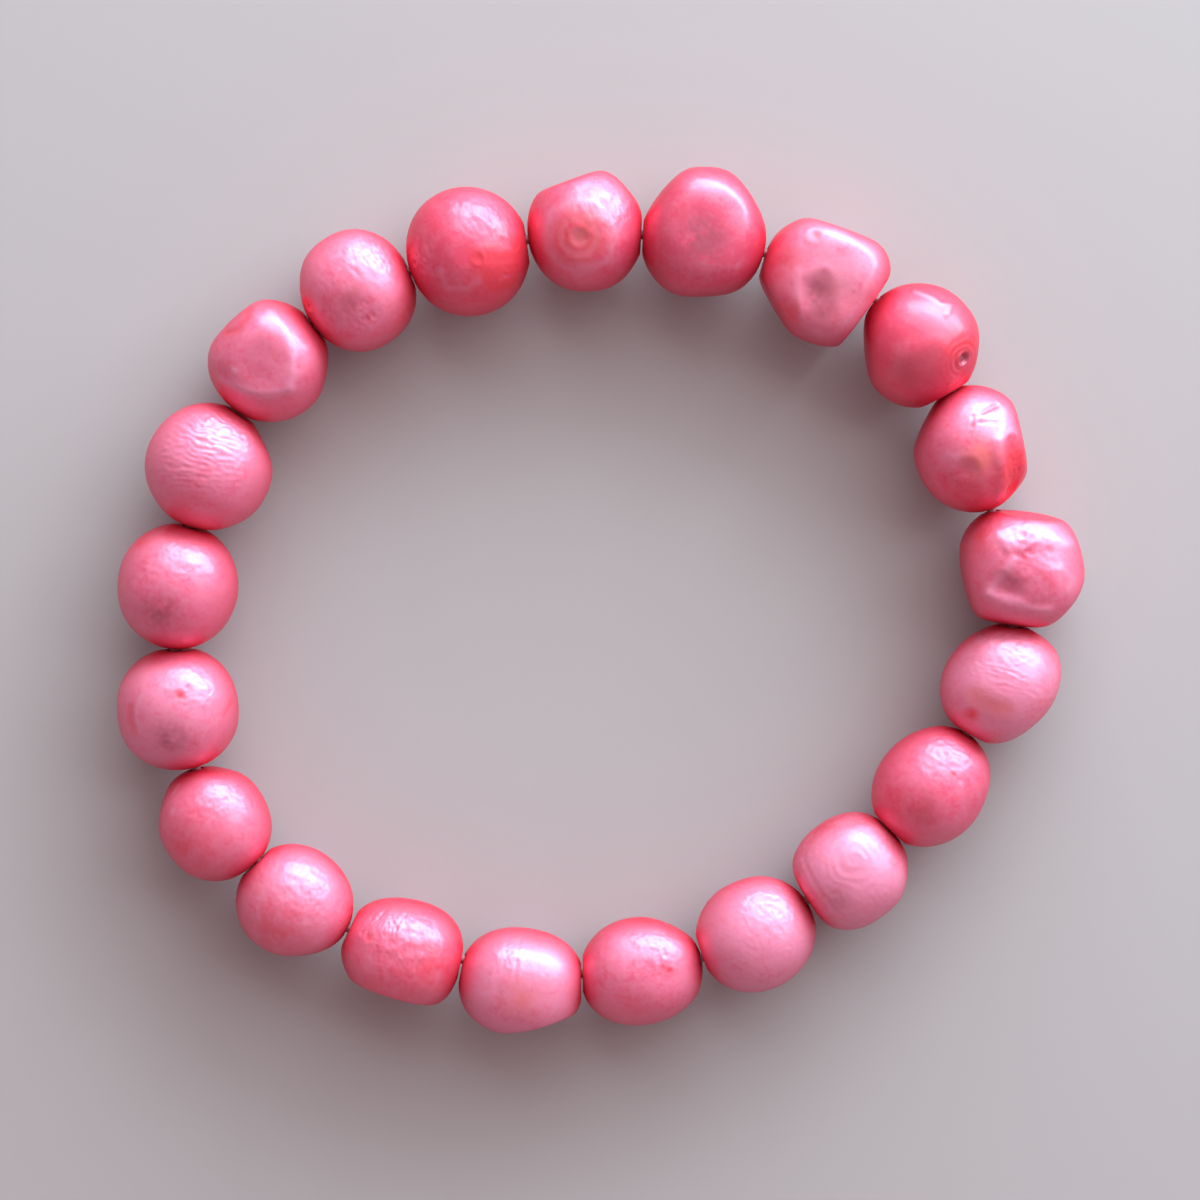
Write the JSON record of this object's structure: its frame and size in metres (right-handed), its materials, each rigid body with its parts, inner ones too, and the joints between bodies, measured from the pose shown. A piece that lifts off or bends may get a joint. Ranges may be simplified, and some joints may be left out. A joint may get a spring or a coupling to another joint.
{
  "type": "pearl bracelet",
  "caption": "Stretch bracelet: a closed oval loop of drilled, pink-dyed baroque pearls on hidden elastic cord, lying flat.",
  "frame": {"origin": "middle of the bracelet's footprint, on the surface that it lies on", "axes": "+X along the loop's longer side, to the right in the picture; +Y up in the picture; +Z up, away from the surface"},
  "size_m": [0.0736, 0.066, 0.0093],
  "materials": {
    "pearl": "dyed nacre, glossy with a fine wrinkled skin",
    "elastic": "clear, satin"
  },
  "bodies": {
    "root": {"elastic_cord": "elastic", "pearl_01": "pearl", "pearl_02": "pearl", "pearl_03": "pearl", "pearl_04": "pearl", "pearl_05": "pearl", "pearl_06": "pearl", "pearl_07": "pearl", "pearl_08": "pearl", "pearl_09": "pearl", "pearl_10": "pearl", "pearl_11": "pearl", "pearl_12": "pearl", "pearl_13": "pearl", "pearl_14": "pearl", "pearl_15": "pearl", "pearl_16": "pearl", "pearl_17": "pearl", "pearl_18": "pearl", "pearl_19": "pearl", "pearl_20": "pearl", "pearl_21": "pearl"}
  },
  "joints": []
}
